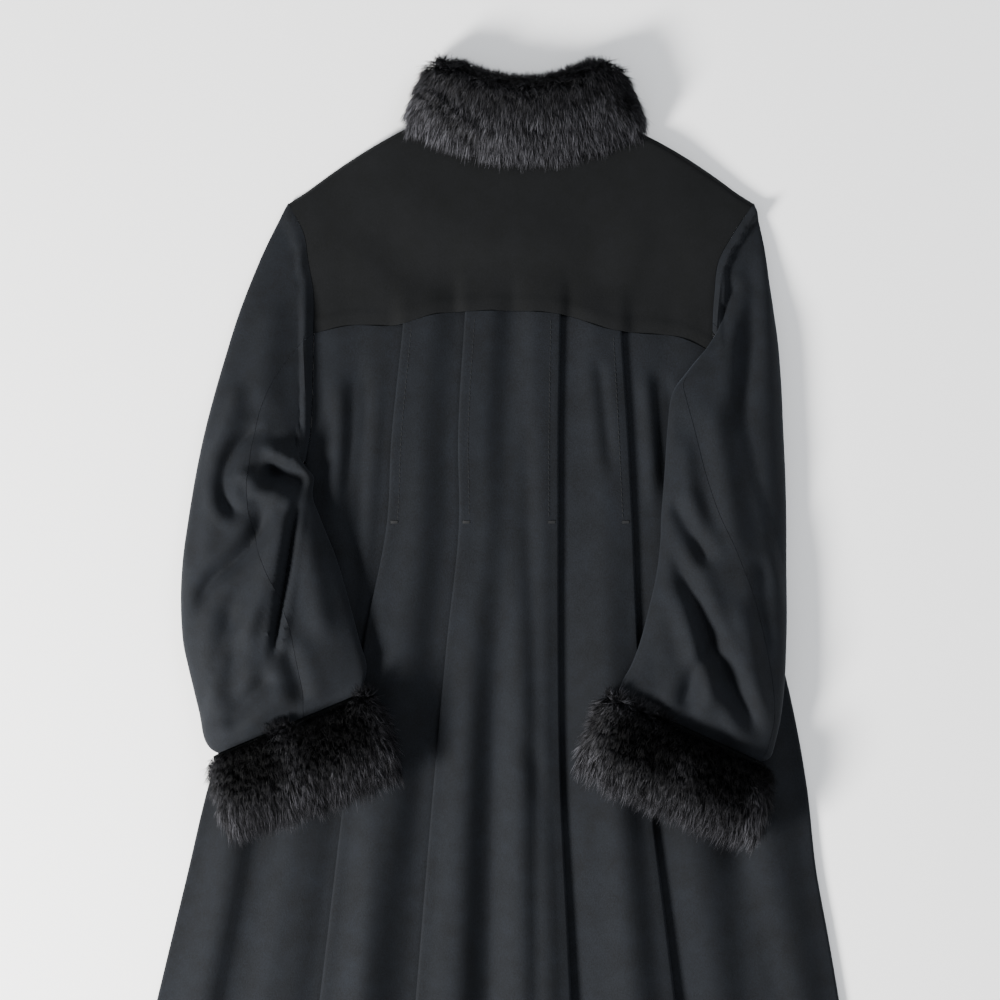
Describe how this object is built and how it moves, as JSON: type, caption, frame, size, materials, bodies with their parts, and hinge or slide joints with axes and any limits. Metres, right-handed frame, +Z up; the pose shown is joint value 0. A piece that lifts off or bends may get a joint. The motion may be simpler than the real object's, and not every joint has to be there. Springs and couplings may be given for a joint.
{
  "type": "long coat",
  "caption": "Long black wool coat with a shaped back yoke, knife tucks, fur stand collar and fur cuffs, laid flat and face down.",
  "frame": {"origin": "middle of the laid coat's bounding box, on the surface it rests on", "axes": "+Z up from the surface, +Y from the hem towards the collar, +X to the right of the back as it is seen from above"},
  "size_m": [0.7978, 1.2609, 0.0601],
  "materials": {
    "wool": "brushed wool coating with a soft nap",
    "fur": "long dark fur pile"
  },
  "bodies": {
    "root": {"back_yoke": "wool", "back_skirt": "wool", "front_left": "wool", "front_right": "wool", "sleeve_left_outer": "wool", "sleeve_left_under": "wool", "sleeve_right_outer": "wool", "sleeve_right_under": "wool", "collar": "fur", "cuff_left": "fur", "cuff_right": "fur"}
  },
  "joints": []
}
